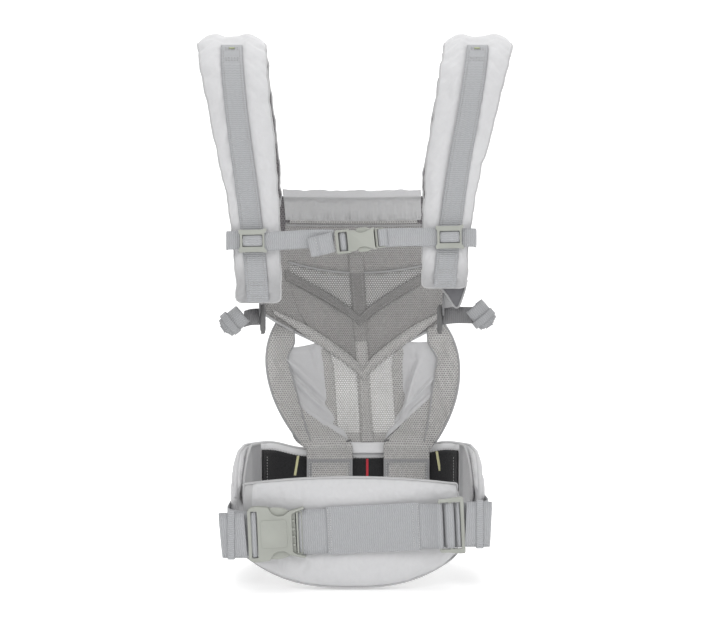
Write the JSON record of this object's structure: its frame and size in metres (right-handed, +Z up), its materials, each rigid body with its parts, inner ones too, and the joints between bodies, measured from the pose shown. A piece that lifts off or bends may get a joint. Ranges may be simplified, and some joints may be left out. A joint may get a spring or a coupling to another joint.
{
  "type": "soft baby carrier",
  "caption": "Soft structured baby carrier drawn as worn, with a padded waistbelt, bucket seat panel, arched shoulder straps, chest strap, lumbar pad and side-release buckles.",
  "frame": {"origin": "in the middle of the carrier between the two shoulder straps and half way through the waistbelt loop's depth, at the height of the lumbar pad's lowest point", "axes": "+Z up as worn, +Y towards the wearer's front (the side that carries the child), +X towards the wearer's right"},
  "size_m": [0.364, 0.2621, 0.617],
  "materials": {
    "padded_fabric": "plain woven polyester, pale grey",
    "mesh_fabric": "open spacer mesh, warm grey",
    "webbing": "ribbed polyester webbing, mid grey",
    "foam": "closed-cell foam",
    "hook_and_loop": "black loop pile",
    "red_mark": "woven tape",
    "cream_mark": "woven tape",
    "buckle_plastic": "moulded, satin, pale sage grey"
  },
  "bodies": {
    "carrier": {"belt_cover": "padded_fabric", "belt_foam": "foam", "belt_loop_strip": "hook_and_loop", "centre_width_mark": "red_mark", "side_width_marks": "cream_mark", "right_waist_webbing": "webbing", "right_waist_tail": "webbing", "right_waist_keeper": "webbing", "waist_buckle_male": "buckle_plastic", "waist_front_webbing": "webbing", "body_panel": "mesh_fabric", "centre_strip": "webbing", "upper_v_band": "webbing", "lower_v_band": "webbing", "left_wing": "mesh_fabric", "right_wing": "mesh_fabric", "left_seat_side": "mesh_fabric", "right_seat_side": "mesh_fabric", "left_seat_pocket": "padded_fabric", "right_seat_pocket": "padded_fabric", "left_side_webbing": "webbing", "right_side_webbing": "webbing"},
    "waist_female": {"waist_buckle_female": "buckle_plastic", "left_waist_webbing": "webbing", "left_waist_tail": "webbing", "left_waist_keeper": "webbing"},
    "waist_upper_prong": {"waist_prong_upper": "buckle_plastic"},
    "waist_lower_prong": {"waist_prong_lower": "buckle_plastic"},
    "waist_adjuster": {"waist_slider": "buckle_plastic"},
    "lumbar_pad": {"lumbar_cover": "padded_fabric", "lumbar_foam": "foam", "lumbar_sleeve": "webbing"},
    "left_tab": {"left_seat_tab": "mesh_fabric"},
    "right_tab": {"right_seat_tab": "mesh_fabric"},
    "head_support": {"head_support": "padded_fabric", "head_support_binding": "webbing"},
    "left_strap": {"left_strap_cover": "padded_fabric", "left_strap_foam": "foam", "left_strap_webbing": "webbing"},
    "right_strap": {"right_strap_cover": "padded_fabric", "right_strap_foam": "foam", "right_strap_webbing": "webbing"},
    "left_adjuster": {"left_ladder_lock": "buckle_plastic", "left_webbing_roll": "webbing"},
    "right_adjuster": {"right_ladder_lock": "buckle_plastic", "right_webbing_roll": "webbing"},
    "chest_strap": {"left_chest_slider": "buckle_plastic", "right_chest_slider": "buckle_plastic", "left_chest_webbing": "webbing", "chest_webbing_tail": "webbing", "chest_strap_loops": "webbing", "chest_buckle_female": "buckle_plastic"},
    "chest_male": {"right_chest_webbing": "webbing", "chest_buckle_male": "buckle_plastic"},
    "chest_upper_prong": {"chest_prong_upper": "buckle_plastic"},
    "chest_lower_prong": {"chest_prong_lower": "buckle_plastic"}
  },
  "joints": [
    {"name": "waist_buckle_release", "type": "slide", "parent": "carrier", "child": "waist_female", "axis": [-0.999, 0, -0.0454], "range_m": [0, 0.032], "stiffness_N_per_m": 60},
    {"name": "waist_upper_button", "type": "slide", "parent": "carrier", "child": "waist_upper_prong", "axis": [0.0454, 0, -0.999], "range_m": [0, 0.0035], "stiffness_N_per_m": 200},
    {"name": "waist_lower_button", "type": "slide", "parent": "carrier", "child": "waist_lower_prong", "axis": [-0.0454, 0, 0.999], "range_m": [0, 0.0035], "stiffness_N_per_m": 200},
    {"name": "waist_slider_travel", "type": "slide", "parent": "carrier", "child": "waist_adjuster", "axis": [0.999, 0, 0.0454], "range_m": [-0.01, 0.001], "stiffness_N_per_m": 40},
    {"name": "lumbar_pad_travel", "type": "slide", "parent": "carrier", "child": "lumbar_pad", "axis": [0.999, 0, 0.0454], "range_m": [-0.008, 0.006], "stiffness_N_per_m": 150},
    {"name": "left_tab_travel", "type": "slide", "parent": "carrier", "child": "left_tab", "axis": [-1, 0, 0], "range_m": [-0.014, 0.01]},
    {"name": "right_tab_travel", "type": "slide", "parent": "carrier", "child": "right_tab", "axis": [1, 0, 0], "range_m": [-0.014, 0.008]},
    {"name": "head_support_fold", "type": "hinge", "parent": "carrier", "child": "head_support", "pos_m": [0, 0.1263, 0.411], "axis": [-1, 0, 0], "range_deg": [0, 150]},
    {"name": "left_strap_lift", "type": "hinge", "parent": "carrier", "child": "left_strap", "pos_m": [0, 0.104, 0.425], "axis": [-1, 0, 0], "range_deg": [0, 20]},
    {"name": "right_strap_lift", "type": "hinge", "parent": "carrier", "child": "right_strap", "pos_m": [0, 0.104, 0.425], "axis": [-1, 0, 0], "range_deg": [0, 20]},
    {"name": "left_strap_adjust", "type": "slide", "parent": "left_strap", "child": "left_adjuster", "axis": [0, 1, 0], "range_m": [0, 0.03]},
    {"name": "right_strap_adjust", "type": "slide", "parent": "right_strap", "child": "right_adjuster", "axis": [0, 1, 0], "range_m": [0, 0.03]},
    {"name": "chest_strap_height", "type": "slide", "parent": "left_strap", "child": "chest_strap", "axis": [0, 0.0377, 0.9993], "range_m": [-0.02, 0.02], "stiffness_N_per_m": 150},
    {"name": "chest_buckle_release", "type": "slide", "parent": "chest_strap", "child": "chest_male", "axis": [0.9998, 0, 0.0192], "range_m": [0, 0.026], "stiffness_N_per_m": 60},
    {"name": "chest_upper_button", "type": "slide", "parent": "chest_male", "child": "chest_upper_prong", "axis": [0.0192, 0, -0.9998], "range_m": [0, 0.0018], "stiffness_N_per_m": 200},
    {"name": "chest_lower_button", "type": "slide", "parent": "chest_male", "child": "chest_lower_prong", "axis": [-0.0192, 0, 0.9998], "range_m": [0, 0.0018], "stiffness_N_per_m": 200}
  ],
  "couplings": [
    {"joint": "waist_lower_button", "follows": "waist_upper_button", "ratio": 1},
    {"joint": "chest_lower_button", "follows": "chest_upper_button", "ratio": 1},
    {"joint": "right_strap_lift", "follows": "left_strap_lift", "ratio": 1}
  ]
}
